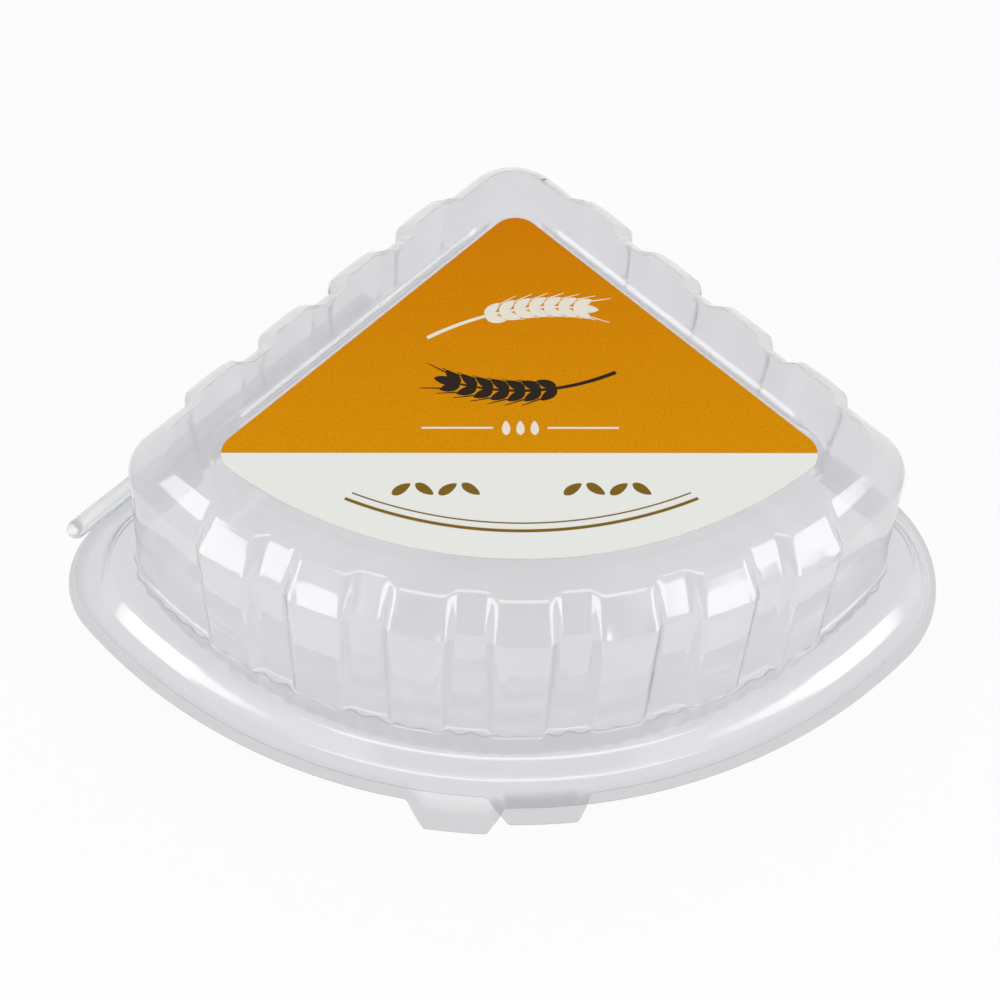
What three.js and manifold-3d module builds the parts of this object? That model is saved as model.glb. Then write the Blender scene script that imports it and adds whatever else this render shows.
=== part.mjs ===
// A clear hinged food pack in the shape of a quarter-round slice: tray, lid and a flat label on the lid.
// Millimetres. +X right, -Y towards the arc front, +Y towards the point, +Z up, table at z = 0.
import * as THREE from "three";
import Module from "manifold-3d";

// Sheet and fit.
const SHEET = 0.4;
const CLEARANCE = 0.35;
const LABEL_SHEET = 0.12;

// Plan: the two straight sides run at 45 degrees from the arc centre C, the arc turns about C.
const C_Y = 54;
const WEDGE_HALF = Math.PI / 4;

// Heights above the table.
const FLANGE_TOP = 18;
const LID_TOP = 67;
const STEP_RISE = 3.65;
const SHOULDER_DROP = 8.2;
const POCKET_DEPTH = 0.6;
const CREASE_DROP = 0.25;

// Outline rows, from the label outwards. h is how far a straight side lies outside its 45 degree line,
// r is the radius of the arc, apex and corner are the rounding radii in plan. Each row is the one inside
// it, grown by a named step, so that a change of the label's size carries through to the flange.
const grown = (row, step) => ({
  h: row.h + step.h,
  r: row.r + step.r,
  apex: row.apex + step.apex,
  corner: row.corner + step.corner,
});
const evenly = (by) => ({ h: by, r: by, apex: by, corner: by });
const LABEL = { h: -5.55, r: 93.7, apex: 5.6, corner: 6 };
const LABEL_GAP = 2.3;
const POCKET_FLANK = 0.7;
const TOP_MARGIN = { h: 7.0, r: 4.6, apex: 0, corner: 0 };
const SHOULDER_RUN = { h: 6.75, r: 6.3, apex: 3, corner: 1 };
const WALL_RUN = { h: 2.8, r: 4.0, apex: 2.5, corner: 1.5 };
const LEDGE_WIDTH = { h: 4.6, r: 6.7, apex: 4, corner: 4 };
const STEP_RUN = { h: 2.0, r: 3.5, apex: 2, corner: 2.5 };
const LID_FLANGE_WIDTH = { h: 1.8, r: 3.7, apex: 2, corner: 7 };
const BASE_MARGIN = { h: 2.2, r: 2.2, apex: 3, corner: 3 };
const TRAY_WALL_SET = { h: 1.2, r: 0.9, apex: 0.5, corner: 2.5 };

// How a pillar is cut in each row: how far it stands out, and its flat top and flank per pitch.
const CREASE_PILLAR = { out: 2.1, top: 0.42, flank: 0.17 };
const SHOULDER_PILLAR = { out: 2.6, top: 0.48, flank: 0.13 };
const FOOT_PILLAR = { out: 2.1, top: 0.57, flank: 0.08 };

const POCKET_FLOOR = grown(LABEL, evenly(LABEL_GAP));
const POCKET_RIM = grown(POCKET_FLOOR, evenly(POCKET_FLANK));
const CREASE = { ...grown(POCKET_RIM, TOP_MARGIN), ...CREASE_PILLAR };
const SHOULDER = { ...grown(CREASE, SHOULDER_RUN), ...SHOULDER_PILLAR };
const FOOT = { ...grown(SHOULDER, WALL_RUN), ...FOOT_PILLAR };
const LEDGE_EDGE = grown(FOOT, LEDGE_WIDTH);
const STEP_FOOT = grown(LEDGE_EDGE, STEP_RUN);
const LID_EDGE = grown(STEP_FOOT, LID_FLANGE_WIDTH);
const BASE_EDGE = grown(LID_EDGE, BASE_MARGIN);
const WALL_TOP = grown(FOOT, TRAY_WALL_SET);

// Pillars of the lid: seven on the arc, four on each straight side.
const ARC_PILLARS = 7;
const ARC_PILLAR_MARGIN = 9.14;
const SIDE_PILLARS = 4;
const SIDE_FIRST = 18.5;
const SIDE_PILLAR_MARGIN = 12.5;

// The hinge side: its flange corner and the bead, which runs a little past the straight edge.
const HINGE_CORNER = 19;
const BEAD_RADIUS = 2.2;
const BEAD_AXIS_H = BASE_EDGE.h + BEAD_RADIUS;
const BEAD_GAP = 0.3;
const BEAD_FROM = 22;
const BEAD_OVERHANG = 7.2;
const LID_HINGE_H = BEAD_AXIS_H - BEAD_RADIUS - BEAD_GAP;

// Base wall.
const WALL_LEAN = 3.2;
const FLOOR_ROUND = 3.2;
const FLUTE_PITCH = 4.65;
const FLUTE_DEPTH = 0.8;

// Opening tabs at the middle of the arc: angles are counted from the middle, positive to the right.
const degrees = (a) => (a * Math.PI) / 180;
const BASE_TAB_LENGTH = 5.7;
const LID_TAB_LENGTH = 5.9;
const BASE_TAB = { root: [-10.55, -1.25], tip: [-8.6, -2.9], reach: BASE_EDGE.r + BASE_TAB_LENGTH };
const LID_TAB = { root: [-2.95, 7.1], tip: [-0.9, 5.5], reach: LID_EDGE.r + LID_TAB_LENGTH };

// Plan vectors of the left and right straight sides.
const SIDES = {
  left: { n: [-Math.SQRT1_2, Math.SQRT1_2], t: [-Math.SQRT1_2, -Math.SQRT1_2] },
  right: { n: [Math.SQRT1_2, Math.SQRT1_2], t: [Math.SQRT1_2, -Math.SQRT1_2] },
};

const lerp = (a, b, f) => a + (b - a) * f;
const onSide = (side, u, h) => [
  side.t[0] * u + side.n[0] * h,
  C_Y + side.t[1] * u + side.n[1] * h,
];
// A point on a circle about C, with the angle counted from the front middle to the right.
const onArc = (angle, r) => [r * Math.sin(angle), C_Y - r * Math.cos(angle)];

// The places where straight sides, roundings and arc meet for one outline row.
function frameOf(row) {
  const hL = row.hLeft ?? row.h;
  const hR = row.h;
  const cornerL = row.cornerLeft ?? row.corner;
  const cornerR = row.corner;
  const end = (h, c) => ({
    u: Math.sqrt((row.r - c) ** 2 - (h - c) ** 2),
    angle: WEDGE_HALF + Math.asin((h - c) / (row.r - c)),
  });
  const L = SIDES.left.n;
  const R = SIDES.right.n;
  const a = hL - row.apex;
  const b = hR - row.apex;
  return {
    hL,
    hR,
    cornerL,
    cornerR,
    left: end(hL, cornerL),
    right: end(hR, cornerR),
    apexCentre: [a * L[0] + b * R[0], C_Y + a * L[1] + b * R[1]],
    startL: -b,
    startR: -a,
  };
}

// The pillars' pitch on each stretch, from where the crease's roundings begin.
const creaseFrame = frameOf(CREASE);
const ARC_PITCH = (2 * (creaseFrame.right.angle - degrees(ARC_PILLAR_MARGIN))) / (ARC_PILLARS - 1);
const SIDE_PITCH = (creaseFrame.right.u - SIDE_FIRST - SIDE_PILLAR_MARGIN) / (SIDE_PILLARS - 1);

// The flange edge on the hinge side, and where the bead ends.
const HINGED_BASE_EDGE = { ...BASE_EDGE, cornerLeft: HINGE_CORNER };
const STRAIGHT_TO = frameOf(HINGED_BASE_EDGE).left.u;
const BEAD_TO = STRAIGHT_TO + BEAD_OVERHANG;

// Points round a circle between two directions, both ends kept.
function rounding(centre, radius, from, to, count) {
  const points = [];
  for (let i = 0; i <= count; i += 1) {
    const a = lerp(from, to, i / count);
    points.push([centre[0] + radius * Math.cos(a), centre[1] + radius * Math.sin(a)]);
  }
  return points;
}

// How a pillar is drawn across its pitch: place in units of half top width and flank, and its height.
const PILLAR_SHAPE = [
  { half: 1, flank: 1, w: 0 },
  { half: 1, flank: 0.35, w: 0.78 },
  { half: 0.9, flank: 0, w: 1 },
  { half: 0.45, flank: 0, w: 1 },
];

// Places of all pillar stations of one row along a side or the arc, in the units of the pitch given.
function pillarPlaces(row, first, pitch, count) {
  const places = [];
  for (let i = 0; i < count; i += 1) {
    const centre = first + i * pitch;
    if (i > 0) places.push({ at: centre - pitch / 2, w: 0 });
    const half = (row.top * pitch) / 2;
    const flank = row.flank * pitch;
    const offsets = PILLAR_SHAPE.map((p) => ({ at: p.half * half + p.flank * flank, w: p.w }));
    offsets.forEach((p) => places.push({ at: centre - p.at, w: p.w }));
    places.push({ at: centre, w: 1 });
    offsets.reverse().forEach((p) => places.push({ at: centre + p.at, w: p.w }));
  }
  return places;
}

// The closed loop of a row with pillars, anticlockwise from the right end of the point's rounding.
function pillarLoop(row, z) {
  const f = frameOf(row);
  const loop = [];
  const add = (p) => loop.push([p[0], p[1], z]);
  rounding(f.apexCentre, row.apex, Math.PI / 4, (3 * Math.PI) / 4, 8).forEach(add);
  const sidePlaces = pillarPlaces(row, SIDE_FIRST, SIDE_PITCH, SIDE_PILLARS);
  const sideRun = (side, places) =>
    places.forEach((p) => add(onSide(side, p.at, row.h + p.w * row.out)));
  sideRun(SIDES.left, sidePlaces);
  const cl = onSide(SIDES.left, f.left.u, f.hL - f.cornerL);
  rounding(cl, f.cornerL, 0.75 * Math.PI, 1.5 * Math.PI - f.left.angle, 9).forEach(add);
  const firstAngle = (-(ARC_PILLARS - 1) / 2) * ARC_PITCH;
  pillarPlaces(row, firstAngle, ARC_PITCH, ARC_PILLARS).forEach((p) =>
    add(onArc(p.at, row.r + p.w * row.out * 0.82)),
  );
  const cr = onSide(SIDES.right, f.right.u, f.hR - f.cornerR);
  rounding(cr, f.cornerR, f.right.angle - Math.PI / 2, Math.PI / 4, 9).forEach(add);
  sideRun(SIDES.right, [...sidePlaces].reverse());
  return loop;
}

// The closed loop of a plain row. A tab, if given, stands out of the arc.
function plainLoop(row, z, tab) {
  const f = frameOf(row);
  const loop = [];
  const add = (p) => loop.push([p[0], p[1], z]);
  rounding(f.apexCentre, row.apex, Math.PI / 4, (3 * Math.PI) / 4, 8).forEach(add);
  const run = (side, from, to, h) => {
    for (let i = 1; i < 8; i += 1) add(onSide(side, lerp(from, to, i / 8), h));
  };
  run(SIDES.left, f.startL, f.left.u, f.hL);
  const cl = onSide(SIDES.left, f.left.u, f.hL - f.cornerL);
  rounding(cl, f.cornerL, 0.75 * Math.PI, 1.5 * Math.PI - f.left.angle, 9).forEach(add);
  const arcTo = (from, to, count) => {
    for (let i = 1; i < count; i += 1) add(onArc(lerp(from, to, i / count), row.r));
  };
  if (tab) {
    const angles = tab.root.concat(tab.tip).map(degrees);
    const [rootA, rootB, tipA, tipB] = angles;
    arcTo(-f.left.angle, rootA, 18);
    tabPoints(row.r, tab.reach, rootA, tipA, tipB, rootB).forEach(add);
    arcTo(rootB, f.right.angle, 18);
  } else {
    arcTo(-f.left.angle, f.right.angle, 36);
  }
  const cr = onSide(SIDES.right, f.right.u, f.hR - f.cornerR);
  rounding(cr, f.cornerR, f.right.angle - Math.PI / 2, Math.PI / 4, 9).forEach(add);
  run(SIDES.right, f.right.u, f.startR, f.hR);
  return loop;
}

// A tab's outline: two slanted sides with rounded corners and a gently curved front.
function tabPoints(rEdge, rTip, rootA, tipA, tipB, rootB) {
  const round = 0.22;
  const slant = (root, tip, f) => onArc(lerp(root, tip, f), lerp(rEdge, rTip, f));
  const front = (f) => onArc(lerp(tipA, tipB, f), rTip);
  const blend = (a, b) => [(a[0] + b[0]) / 2, (a[1] + b[1]) / 2];
  const nearA = blend(blend(slant(rootA, tipA, 1 - round), front(0.08)), front(0));
  const nearB = blend(blend(slant(rootB, tipB, 1 - round), front(0.92)), front(1));
  return [
    onArc(rootA, rEdge),
    slant(rootA, tipA, 0.4),
    slant(rootA, tipA, 1 - round),
    nearA,
    front(0.08),
    front(0.5),
    front(0.92),
    nearB,
    slant(rootB, tipB, 1 - round),
    slant(rootB, tipB, 0.4),
    onArc(rootB, rEdge),
  ];
}

// The closed loop of a row with fine flutes: the plain outline walked in even steps, waved across.
function fluteLoop(row, z, count) {
  const f = frameOf(row);
  const dense = [];
  const add = (p, n) => dense.push({ p, n });
  const turn = (centre, radius, from, to, steps) => {
    for (let i = 0; i <= steps; i += 1) {
      const a = lerp(from, to, i / steps);
      const n = [Math.cos(a), Math.sin(a)];
      add([centre[0] + radius * n[0], centre[1] + radius * n[1]], n);
    }
  };
  turn(f.apexCentre, row.apex, Math.PI / 4, 0.75 * Math.PI, 40);
  const cl = onSide(SIDES.left, f.left.u, row.h - row.corner);
  turn(cl, row.corner, 0.75 * Math.PI, 1.5 * Math.PI - f.left.angle, 40);
  turn([0, C_Y], row.r, 1.5 * Math.PI - f.left.angle, 1.5 * Math.PI + f.right.angle, 300);
  const cr = onSide(SIDES.right, f.right.u, row.h - row.corner);
  turn(cr, row.corner, f.right.angle - Math.PI / 2, Math.PI / 4, 40);
  const lengths = [0];
  for (let i = 0; i < dense.length; i += 1) {
    const a = dense[i].p;
    const b = dense[(i + 1) % dense.length].p;
    lengths.push(lengths[i] + Math.hypot(b[0] - a[0], b[1] - a[1]));
  }
  const total = lengths[dense.length];
  const loop = [];
  let k = 0;
  for (let i = 0; i < count; i += 1) {
    const at = (total * i) / count;
    while (lengths[k + 1] < at) k += 1;
    const g = (at - lengths[k]) / (lengths[k + 1] - lengths[k] || 1);
    const a = dense[k];
    const b = dense[(k + 1) % dense.length];
    const wave = (FLUTE_DEPTH / 2) * Math.cos((i * Math.PI) / 2);
    loop.push([
      lerp(a.p[0], b.p[0], g) + wave * lerp(a.n[0], b.n[0], g),
      lerp(a.p[1], b.p[1], g) + wave * lerp(a.n[1], b.n[1], g),
      z,
    ]);
  }
  return loop;
}

// Where a polyline of (distance, height) goes when the sheet's other face is drawn at a set depth under it.
function underside(rows, key, depth) {
  const pts = rows.map((row) => [row[key], row.z]);
  const normals = [];
  for (let i = 0; i + 1 < pts.length; i += 1) {
    const dx = pts[i + 1][0] - pts[i][0];
    const dz = pts[i + 1][1] - pts[i][1];
    const l = Math.hypot(dx, dz);
    normals.push([dz / l, -dx / l]);
  }
  return pts.map((p, i) => {
    const a = i > 0 ? normals[i - 1] : [0, -1];
    const b = i < normals.length ? normals[i] : normals[i - 1];
    const s = 1 + a[0] * b[0] + a[1] * b[1];
    return [((a[0] + b[0]) * depth) / s, ((a[1] + b[1]) * depth) / s];
  });
}

// The lower rows of a sheet whose upper rows are given.
function undersideRows(rows, depth) {
  const bySide = underside(rows, "h", depth);
  const byArc = underside(rows, "r", depth);
  return rows.map((row, i) => ({
    ...row,
    h: row.h + bySide[i][0],
    hLeft: row.hLeft === undefined ? undefined : row.hLeft + bySide[i][0],
    r: row.r + byArc[i][0],
    apex: Math.max(0.8, row.apex + bySide[i][0]),
    corner: Math.max(0.8, row.corner + byArc[i][0]),
    cornerLeft: row.cornerLeft === undefined ? undefined : row.cornerLeft + byArc[i][0],
    z: row.z + (bySide[i][1] + byArc[i][1]) / 2,
  }));
}

// A closed surface from a list of loops, with a middle point at each end.
function skin(loops) {
  const position = [];
  const index = [];
  const starts = loops.map((loop) => {
    const start = position.length / 3;
    loop.forEach((p) => position.push(...p));
    return start;
  });
  const middle = (loop) => {
    const sum = loop.reduce((s, p) => [s[0] + p[0], s[1] + p[1], s[2] + p[2]], [0, 0, 0]);
    position.push(sum[0] / loop.length, sum[1] / loop.length, loop[0][2]);
    return position.length / 3 - 1;
  };
  const top = middle(loops[0]);
  const n0 = loops[0].length;
  for (let i = 0; i < n0; i += 1) index.push(top, starts[0] + i, starts[0] + ((i + 1) % n0));
  const gap = (p, q) => (p[0] - q[0]) ** 2 + (p[1] - q[1]) ** 2 + (p[2] - q[2]) ** 2;
  for (let k = 0; k + 1 < loops.length; k += 1) {
    const A = loops[k];
    const B = loops[k + 1];
    let i = 0;
    let j = 0;
    while (i < A.length || j < B.length) {
      const a = starts[k] + (i % A.length);
      const b = starts[k + 1] + (j % B.length);
      const moveA = i < A.length && (j >= B.length
        || gap(A[(i + 1) % A.length], B[j % B.length]) < gap(A[i % A.length], B[(j + 1) % B.length]));
      if (moveA) {
        i += 1;
        index.push(a, b, starts[k] + (i % A.length));
      } else {
        j += 1;
        index.push(a, b, starts[k + 1] + (j % B.length));
      }
    }
  }
  const last = loops[loops.length - 1];
  const s = starts[loops.length - 1];
  const low = middle(last);
  for (let i = 0; i < last.length; i += 1) index.push(s + i, low, s + ((i + 1) % last.length));
  return { position, index };
}

const wasm = await Module();
wasm.setup();

const solidOf = ({ position, index }) =>
  new wasm.Manifold(
    new wasm.Mesh({
      numProp: 3,
      vertProperties: new Float32Array(position),
      triVerts: new Uint32Array(index),
    }),
  );

function geometryOf(solid) {
  const mesh = solid.getMesh();
  const geometry = new THREE.BufferGeometry();
  geometry.setAttribute("position", new THREE.BufferAttribute(mesh.vertProperties, 3));
  geometry.setIndex(new THREE.BufferAttribute(mesh.triVerts, 1));
  const flat = geometry.toNonIndexed();
  flat.computeVertexNormals();
  return flat;
}

// Lid: rows of the outer face from the middle of the top to the flange edge.
const LEDGE_Z = FLANGE_TOP + SHEET + STEP_RISE;
const lerpRow = (a, b, f, lift) => {
  const row = { z: lerp(a.z, b.z, f) + lift };
  for (const key of ["h", "r", "apex", "corner", "out", "top", "flank"]) row[key] = lerp(a[key], b[key], f);
  row.h += lift;
  row.r += lift;
  return row;
};
const crease = { ...CREASE, z: LID_TOP - CREASE_DROP };
const shoulder = { ...SHOULDER, z: crease.z - SHOULDER_DROP };
const foot = { ...FOOT, z: LEDGE_Z + 0.1 };
const lidRows = [
  { ...POCKET_FLOOR, z: LID_TOP - POCKET_DEPTH, kind: "plain" },
  { ...POCKET_RIM, z: LID_TOP, kind: "plain" },
  { ...crease, kind: "pillar" },
  { ...lerpRow(crease, shoulder, 0.3, 0.35), kind: "pillar" },
  { ...lerpRow(crease, shoulder, 0.72, 0.45), kind: "pillar" },
  { ...shoulder, kind: "pillar" },
  { ...foot, kind: "pillar" },
  { ...LEDGE_EDGE, z: LEDGE_Z, kind: "plain" },
  { ...STEP_FOOT, z: FLANGE_TOP + SHEET, kind: "plain" },
  { ...LID_EDGE, hLeft: LID_HINGE_H, cornerLeft: HINGE_CORNER - 1, z: FLANGE_TOP + SHEET, kind: "edge" },
];

const loopOf = (row, tab) => {
  if (row.kind === "pillar") return pillarLoop(row, row.z);
  if (row.kind === "edge") return plainLoop(row, row.z, tab);
  if (row.kind === "flute") return fluteLoop(row, row.z, row.count);
  return plainLoop(row, row.z);
};

// A sheet: the upper rows outwards, then the lower rows back to the middle.
const sheetOf = (rows, tab) => {
  const lower = undersideRows(rows, SHEET);
  const edge = rows.length - 1;
  for (const key of ["h", "hLeft", "r", "apex", "corner", "cornerLeft"]) lower[edge][key] = rows[edge][key];
  lower[edge].z = rows[edge].z - SHEET;
  const loops = rows.map((row) => loopOf(row, tab));
  const back = lower.map((row) => loopOf(row, tab)).reverse();
  return skin(loops.concat(back));
};
const lidSolid = solidOf(sheetOf(lidRows, LID_TAB));

// Base: the rim under the lid keeps the clearance from the lid's inner face, measured square to the step.
const RIM_TOP = LEDGE_Z - SHEET - CLEARANCE - 0.1;
const rimUnder = (key, like, z) => {
  const run = STEP_FOOT[key] - LEDGE_EDGE[key];
  const lean = STEP_FOOT[like] - LEDGE_EDGE[like];
  const outer = STEP_FOOT[key] + (run * (FLANGE_TOP + SHEET - z)) / STEP_RISE;
  return outer - ((SHEET + CLEARANCE) * Math.hypot(lean, STEP_RISE)) / STEP_RISE;
};
const rimRow = (z) => ({
  h: rimUnder("h", "h", z),
  r: rimUnder("r", "r", z),
  apex: rimUnder("apex", "h", z),
  corner: rimUnder("corner", "r", z),
  z,
  kind: "plain",
});
const inwards = (row, by) => ({
  h: row.h - by,
  r: row.r - by,
  apex: row.apex - by * 0.6,
  corner: row.corner - by * 0.6,
});
const wallLength = (row) => {
  const f = frameOf(row);
  return f.left.u + f.right.u - 2 * f.startL + row.r * (f.left.angle + f.right.angle) + 3 * row.corner;
};
const fluteSteps = 4 * Math.round(wallLength(WALL_TOP) / FLUTE_PITCH);
const wallFoot = inwards(WALL_TOP, WALL_LEAN);
const round = (f) => FLOOR_ROUND * (1 - Math.cos(f));
const floorRow = (f, kind) => ({
  ...inwards(wallFoot, FLOOR_ROUND * (1 - Math.sin(f))),
  z: SHEET + round(f),
  kind,
  count: fluteSteps,
});
const baseRows = [
  floorRow(0, "plain"),
  floorRow(Math.PI / 4, "plain"),
  floorRow(Math.PI / 2.2, "flute"),
  { ...WALL_TOP, z: RIM_TOP, kind: "flute", count: fluteSteps },
  rimRow(RIM_TOP),
  rimRow(FLANGE_TOP),
  { ...HINGED_BASE_EDGE, z: FLANGE_TOP, kind: "edge" },
];
const baseShell = solidOf(sheetOf(baseRows, BASE_TAB));

// Hinge bead: a tube with rounded closed ends along the left side, slit along its inner upper quarter.
function capsule(radius, length) {
  const points = [];
  const steps = 6;
  for (let i = 0; i <= steps; i += 1) {
    const a = (i / steps) * (Math.PI / 2);
    points.push(new THREE.Vector2(radius * Math.sin(a), -length / 2 - radius * Math.cos(a)));
  }
  for (let i = steps; i >= 0; i -= 1) {
    const a = (i / steps) * (Math.PI / 2);
    points.push(new THREE.Vector2(radius * Math.sin(a), length / 2 + radius * Math.cos(a)));
  }
  points[0].x = 0;
  points[points.length - 1].x = 0;
  return turned(points, 20);
}

// A closed solid of revolution about its own Y axis.
function turned(points, segments) {
  const position = [0, points[0].y, 0];
  const index = [];
  const inner = points.slice(1, -1);
  inner.forEach((p) => {
    for (let s = 0; s < segments; s += 1) {
      const a = (2 * Math.PI * s) / segments;
      position.push(p.x * Math.cos(a), p.y, -p.x * Math.sin(a));
    }
  });
  position.push(0, points[points.length - 1].y, 0);
  const top = position.length / 3 - 1;
  const at = (ring, s) => 1 + ring * segments + (s % segments);
  for (let s = 0; s < segments; s += 1) {
    index.push(0, at(0, s + 1), at(0, s));
    for (let k = 0; k + 1 < inner.length; k += 1) {
      index.push(at(k, s), at(k, s + 1), at(k + 1, s + 1));
      index.push(at(k, s), at(k + 1, s + 1), at(k + 1, s));
    }
    index.push(top, at(inner.length - 1, s), at(inner.length - 1, s + 1));
  }
  return solidOf({ position, index });
}

const beadLength = BEAD_TO - BEAD_FROM - 2 * BEAD_RADIUS;
const slit = wasm.Manifold.cube([2 * BEAD_RADIUS, beadLength + BEAD_RADIUS, 1.1], true)
  .translate([BEAD_RADIUS, 0, 0.55]);
const beadAlongY = capsule(BEAD_RADIUS, beadLength)
  .subtract(capsule(BEAD_RADIUS - SHEET, beadLength))
  .subtract(slit);
const beadMiddle = onSide(SIDES.left, (BEAD_FROM + BEAD_TO) / 2, BEAD_AXIS_H);
const bead = beadAlongY.rotate([0, 0, -45]).translate([beadMiddle[0], beadMiddle[1], FLANGE_TOP]);

// The strip that joins the flange edge to the bead's wall.
const joinDepth = 0.6 * SHEET;
const joinFrom = BEAD_FROM + BEAD_RADIUS;
const joinMiddle = onSide(SIDES.left, (joinFrom + STRAIGHT_TO) / 2, BASE_EDGE.h);
const joint = wasm.Manifold.cube([2 * joinDepth, STRAIGHT_TO - joinFrom, SHEET], true)
  .rotate([0, 0, -45])
  .translate([...joinMiddle, FLANGE_TOP - SHEET / 2]);
const baseSolid = baseShell.add(joint).add(bead);

// Label: a flat sheet lying on the floor of the lid's pocket.
const labelFloor = LID_TOP - POCKET_DEPTH;
const labelSolid = solidOf(
  skin([plainLoop(LABEL, labelFloor + LABEL_SHEET), plainLoop(LABEL, labelFloor)]),
);

const clear = (roughness) => ({ color: 0xd9dddf, roughness, metalness: 0 });
const part = new THREE.Group();
const addNode = (name, solid, look) => {
  const mesh = new THREE.Mesh(geometryOf(solid), new THREE.MeshStandardMaterial(look));
  mesh.name = name;
  part.add(mesh);
};
addNode("base_tray", baseSolid, clear(0.12));
addNode("lid", lidSolid, clear(0.08));
addNode("label", labelSolid, { color: 0xd38b05, roughness: 0.5, metalness: 0 });

export default part;
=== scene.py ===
# %% [markdown]
# # A clear hinged pack for a wedge of cake
# The real object is thin clear film, drawn over a mould: a tray with fine flutes, a tall lid with broad
# pillars, and a printed label in a shallow pocket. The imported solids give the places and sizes. Here each
# sheet is made again with soft creases, so that light bends along them as it does in real film.

# %% Load the frame
import bpy
import mathutils
import numpy as np
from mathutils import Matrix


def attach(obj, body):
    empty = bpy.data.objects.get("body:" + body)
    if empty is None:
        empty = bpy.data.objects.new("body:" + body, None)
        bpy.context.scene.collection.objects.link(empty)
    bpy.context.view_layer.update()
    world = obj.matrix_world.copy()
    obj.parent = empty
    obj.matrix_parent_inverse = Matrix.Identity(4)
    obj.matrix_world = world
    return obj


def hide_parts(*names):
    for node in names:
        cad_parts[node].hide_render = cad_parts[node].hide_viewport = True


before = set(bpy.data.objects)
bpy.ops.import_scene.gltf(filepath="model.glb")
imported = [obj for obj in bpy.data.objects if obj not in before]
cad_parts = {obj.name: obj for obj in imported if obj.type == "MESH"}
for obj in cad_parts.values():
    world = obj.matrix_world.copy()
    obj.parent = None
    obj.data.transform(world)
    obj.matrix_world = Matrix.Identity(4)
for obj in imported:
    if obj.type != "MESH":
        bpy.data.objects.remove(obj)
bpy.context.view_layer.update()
scene = bpy.context.scene

# %% [markdown]
# ## The camera
# The camera stands where the photograph was taken from: a little over thirty centimetres away, high in
# front of the arc. Its place comes from the corners of the label, the creases and the flange, which must
# fall on the same pixels as in the photograph.

# %% Camera
MM = 0.001
UNIT = 0.92 * MM
MEASURED_FROM = np.array([0, 0.052344, 0.0665])
PICTURE_PX, SENSOR_MM = 1000, 36


def aim_camera(distance, elevation, turn, roll, across, along, focal_px):
    """Places the camera: a point above the table at a distance and elevation, turned about the upright
    axis, then rolled about the line of sight. The lens is the focal length in pixels over the picture's
    width. Distances are in units of 0.92 mm from a point at the label's height, near where the sides
    meet."""
    e, t, k = np.radians([elevation, turn, roll])
    ahead = np.array([0, np.cos(e), -np.sin(e)])
    above = np.array([0, np.sin(e), np.cos(e)])
    right = np.array([1.0, 0, 0])
    place = np.array([across, along, 0]) - distance * ahead
    back = np.array([[np.cos(t), np.sin(t), 0], [-np.sin(t), np.cos(t), 0], [0, 0, 1]])
    x = back @ (right * np.cos(k) - above * np.sin(k))
    y = back @ (right * np.sin(k) + above * np.cos(k))
    z = -(back @ ahead)
    data = bpy.data.cameras.new("camera")
    data.lens = SENSOR_MM * focal_px / PICTURE_PX
    data.sensor_width = SENSOR_MM
    data.clip_start = 0.01
    camera = bpy.data.objects.new("camera", data)
    scene.collection.objects.link(camera)
    matrix = np.eye(4)
    matrix[:3, 0], matrix[:3, 1], matrix[:3, 2] = x, y, z
    matrix[:3, 3] = MEASURED_FROM + UNIT * (back @ place)
    camera.matrix_world = mathutils.Matrix(matrix.tolist())
    return camera


DISTANCE = 350
scene.camera = aim_camera(DISTANCE, elevation=60.92, turn=3.37, roll=-2.93, across=0.31, along=-86.03,
                          focal_px=4.66 * DISTANCE)
print("camera at, mm:", [round(c * 1000) for c in scene.camera.matrix_world.translation])

# %% [markdown]
# ## Outlines of a wedge
# Every crease of the pack is the same kind of line: two straight sides at right angles, an arc about the
# meeting point, and three rounded corners. One function lays out any number of such lines at once. A row
# says how far the sides stand out, how large the arc is, how round the corners are, and how far the
# pillars stand out of it.

# %% The stations along an outline
CENTRE_Y = 54.0
PITCH_SIDE, FIRST_SIDE, SIDE_COUNT = 20.4, 18.5, 4
PITCH_ARC, ARC_COUNT = np.radians(11.01), 7
LEFT_N, RIGHT_N = np.array([-1, 1]) / np.sqrt(2), np.array([1, 1]) / np.sqrt(2)
LEFT_T, RIGHT_T = -RIGHT_N, -LEFT_N
PER_PITCH = 34
PER_ROUNDING = 44
SMALL = 0.3
FADE = 6
ARC_FLATTER = 0.82


def steps(count):
    """Even fractions from 0 up to, but not including, 1."""
    return np.arange(count) / count


def pillar_height(place, first, pitch, count, top, flank, arch):
    """How far a pillar is raised at a place: 1 over its top, 0 in the recess, and a smooth S between,
    blended by arch into 1 minus the cube of the distance, to the power 0.8, which is a round arch.
    The second result is 1 near a pillar's edges and 0 at its middle, for a shoulder pad's round foot."""
    nearest = first + pitch * np.clip(np.round((place - first) / pitch), 0, count - 1)
    off = np.abs(place - nearest) / pitch
    t = np.clip((top / 2 + flank - off) / flank, 0, 1)
    flat = t * t * (3 - 2 * t)
    bow = (1 - np.clip(off / (top / 2 + flank), 0, 1) ** 3) ** 0.8
    high = flat + arch * (bow - flat)
    edge = np.clip(off / (top / 2 + 0.5 * flank), 0, 1) ** 4 * high
    return high, edge


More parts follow.
